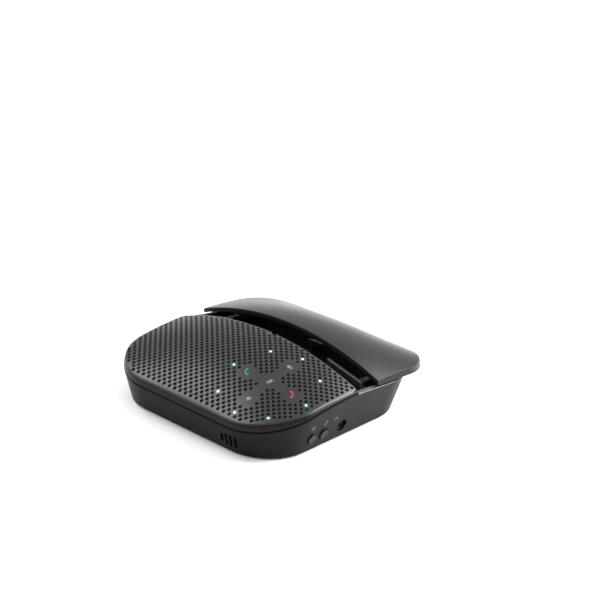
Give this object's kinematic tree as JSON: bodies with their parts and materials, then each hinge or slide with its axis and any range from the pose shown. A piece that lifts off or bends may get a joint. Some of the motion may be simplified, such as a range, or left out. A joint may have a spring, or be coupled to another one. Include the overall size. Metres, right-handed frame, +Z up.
{
  "type": "conference speakerphone",
  "caption": "Desktop conference speakerphone with a perforated domed top, a touch ring of lights, side buttons and a sliding rear cover that opens a slot for a phone.",
  "frame": {"origin": "on the table, under the centre of the base outline", "axes": "+X to the right side with the buttons, +Y to the rear, +Z up"},
  "size_m": [0.122, 0.1286, 0.0383],
  "materials": {
    "housing": "fine matte black moulding",
    "bezel": "satin black moulding",
    "grille": "satin charcoal, perforated",
    "cloth": "thin black acoustic cloth",
    "cover": "satin charcoal moulding",
    "rubber": "matte black rubber",
    "inner_plastic": "plain black moulding",
    "steel": "satin",
    "light_pipe": "clear, lit pale green",
    "board": "green solder resist",
    "chip": "black epoxy",
    "button": "satin black moulding",
    "socket_metal": "nickel plated",
    "paper_cone": "pressed paper",
    "magnet": "ground",
    "foil": "grey foil pouch",
    "foam": "closed foam"
  },
  "bodies": {
    "base": {"lower_housing": "housing", "base_plate": "housing", "case_screws": "steel", "rubber_base": "rubber", "front_bezel": "bezel", "speaker_grille": "grille", "acoustic_cloth": "cloth", "deck_plate": "inner_plastic", "slot_pad": "rubber", "detent_spring": "steel", "slot_rib_right": "rubber", "guide_rail_right": "steel", "slot_rib_left": "rubber", "guide_rail_left": "steel", "speaker_baffle": "inner_plastic", "speaker_frame": "steel", "speaker_magnet": "magnet", "speaker_surround": "rubber", "speaker_cone": "paper_cone", "speaker_gasket": "foam", "touch_board": "board", "touch_board_frame": "inner_plastic", "led_light_pipes": "light_pipe", "main_board": "board", "board_chips": "chip", "board_posts": "inner_plastic", "side_board": "board", "button_switches": "socket_metal", "headset_jack": "inner_plastic", "usb_socket": "socket_metal", "microphone": "socket_metal", "microphone_boot": "rubber", "battery_pack": "foil", "battery_bracket": "inner_plastic"},
    "cover": {"rear_cover": "cover", "cover_catch": "inner_plastic", "slide_shoe_right": "inner_plastic", "slide_shoe_left": "inner_plastic"},
    "power_key": {"power_button": "button"},
    "pairing_key": {"pairing_button": "button"}
  },
  "joints": [
    {"name": "cover_slide", "type": "slide", "parent": "base", "child": "cover", "axis": [0, 0.9962, -0.0872], "range_m": [-0.014, 0]},
    {"name": "power_press", "type": "slide", "parent": "base", "child": "power_key", "axis": [-1, 0, 0], "range_m": [0, 0.0005], "stiffness_N_per_m": 1500, "springref_m": -0.0006},
    {"name": "pairing_press", "type": "slide", "parent": "base", "child": "pairing_key", "axis": [-1, 0, 0], "range_m": [0, 0.0005], "stiffness_N_per_m": 1500, "springref_m": -0.0006}
  ]
}
